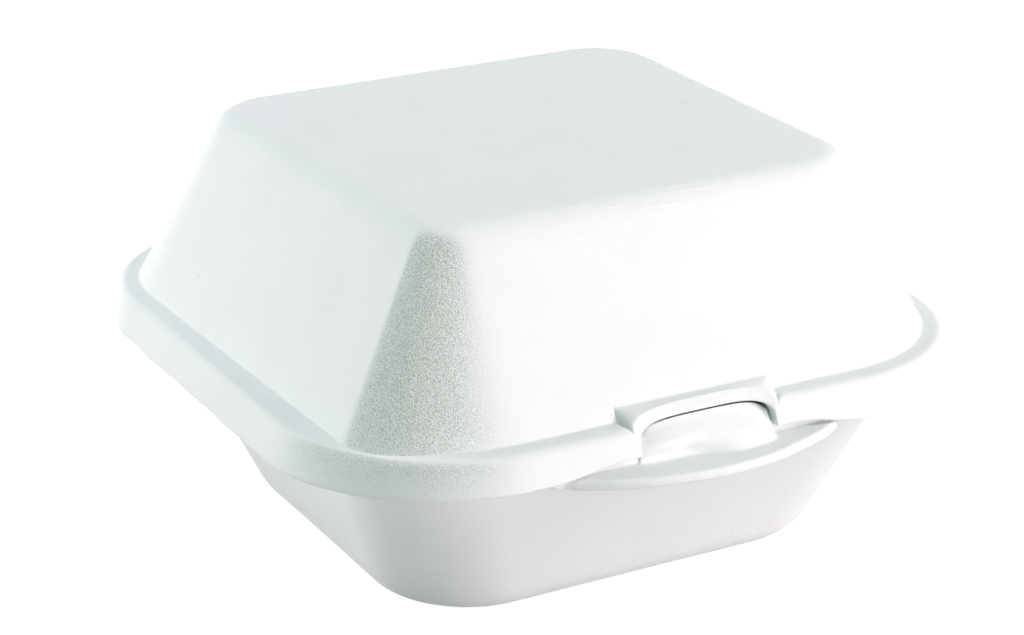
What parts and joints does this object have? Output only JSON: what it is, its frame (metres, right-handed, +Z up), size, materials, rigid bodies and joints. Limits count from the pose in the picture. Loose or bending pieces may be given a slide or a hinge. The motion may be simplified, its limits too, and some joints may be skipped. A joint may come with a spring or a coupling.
{
  "type": "foam clamshell food container",
  "caption": "Square foam takeaway box with sloping walls, a deep domed lid folded on at the back, and a press latch at the front.",
  "frame": {"origin": "middle of the tray's flat underside, on the surface that the box stands on", "axes": "+Z up; the latch at -Y and the fold at +Y; +X to the right seen from the latch side"},
  "size_m": [0.1496, 0.1589, 0.0812],
  "materials": {
    "foam": "smooth white foam skin with a fine grain and a soft sheen"
  },
  "bodies": {
    "base": {"base": "foam"},
    "lid": {"lid": "foam"}
  },
  "joints": [
    {"name": "lid_fold", "type": "hinge", "parent": "base", "child": "lid", "pos_m": [0, 0.0783, 0.03782], "axis": [-1, 0, 0], "range_deg": [0, 170]}
  ]
}
